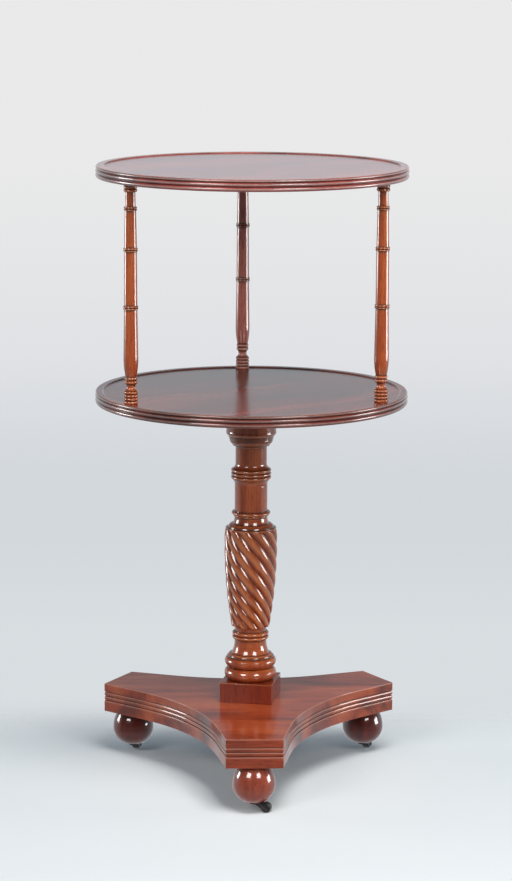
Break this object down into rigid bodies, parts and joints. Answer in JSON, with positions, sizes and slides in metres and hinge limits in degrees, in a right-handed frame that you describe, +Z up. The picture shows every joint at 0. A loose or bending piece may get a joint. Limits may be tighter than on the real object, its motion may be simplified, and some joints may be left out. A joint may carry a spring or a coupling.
{
  "type": "dumbwaiter serving stand",
  "caption": "Free-standing serving stand with two dished round tiers on turned pillars, a spiral-reeded column, a three-legged platform, ball feet and swivel casters.",
  "frame": {"origin": "on the floor under the column's axis, within 3 mm of the middle of the bounding box's bottom", "axes": "+Z up along the column, the front leg towards -Y, the left and right legs towards +Y"},
  "size_m": [0.508, 0.5132, 1.0085],
  "materials": {
    "tier_mahogany": "polished dark red-brown mahogany",
    "pillar_mahogany": "polished orange-brown mahogany",
    "column_mahogany": "polished orange-brown mahogany",
    "base_mahogany": "polished red-brown mahogany",
    "foot_mahogany": "polished red-brown mahogany",
    "hidden_wood": "plain oiled mahogany",
    "caster_iron": "dark lacquered iron",
    "wheel_iron": "dark worn iron",
    "screw_iron": "dull steel"
  },
  "bodies": {
    "root": {"upper_tier": "tier_mahogany", "lower_tier": "tier_mahogany", "pillar_left": "pillar_mahogany", "pillar_right": "pillar_mahogany", "pillar_back": "pillar_mahogany", "column": "column_mahogany", "column_wedge": "hidden_wood", "tier_bearer": "hidden_wood", "bearer_screws": "screw_iron", "base_platform": "base_mahogany", "foot_front": "foot_mahogany", "caster_plate_front": "caster_iron", "caster_screws_front": "screw_iron", "caster_stem_front": "caster_iron", "foot_left": "foot_mahogany", "caster_plate_left": "caster_iron", "caster_screws_left": "screw_iron", "caster_stem_left": "caster_iron", "foot_right": "foot_mahogany", "caster_plate_right": "caster_iron", "caster_screws_right": "screw_iron", "caster_stem_right": "caster_iron"},
    "fork_front": {"caster_fork_front": "caster_iron", "caster_axle_front": "caster_iron"},
    "wheel_front": {"caster_wheel_front": "wheel_iron"},
    "fork_left": {"caster_fork_left": "caster_iron", "caster_axle_left": "caster_iron"},
    "wheel_left": {"caster_wheel_left": "wheel_iron"},
    "fork_right": {"caster_fork_right": "caster_iron", "caster_axle_right": "caster_iron"},
    "wheel_right": {"caster_wheel_right": "wheel_iron"}
  },
  "joints": [
    {"name": "swivel_front", "type": "hinge", "parent": "root", "child": "fork_front", "pos_m": [0, -0.225, 0.0085], "axis": [0, 0, 1], "continuous": true},
    {"name": "roll_front", "type": "hinge", "parent": "fork_front", "child": "wheel_front", "pos_m": [0.01945, -0.23208, 0.0085], "axis": [0.342, 0.9397, 0], "continuous": true},
    {"name": "swivel_left", "type": "hinge", "parent": "root", "child": "fork_left", "pos_m": [-0.19486, 0.1125, 0.0085], "axis": [0, 0, 1], "continuous": true},
    {"name": "roll_left", "type": "hinge", "parent": "fork_left", "child": "wheel_left", "pos_m": [-0.18985, 0.13259, 0.0085], "axis": [-0.9703, 0.2419, 0], "continuous": true},
    {"name": "swivel_right", "type": "hinge", "parent": "root", "child": "fork_right", "pos_m": [0.19486, 0.1125, 0.0085], "axis": [0, 0, 1], "continuous": true},
    {"name": "roll_right", "type": "hinge", "parent": "fork_right", "child": "wheel_right", "pos_m": [0.2036, 0.13126, 0.0085], "axis": [-0.9063, 0.4226, 0], "continuous": true}
  ]
}
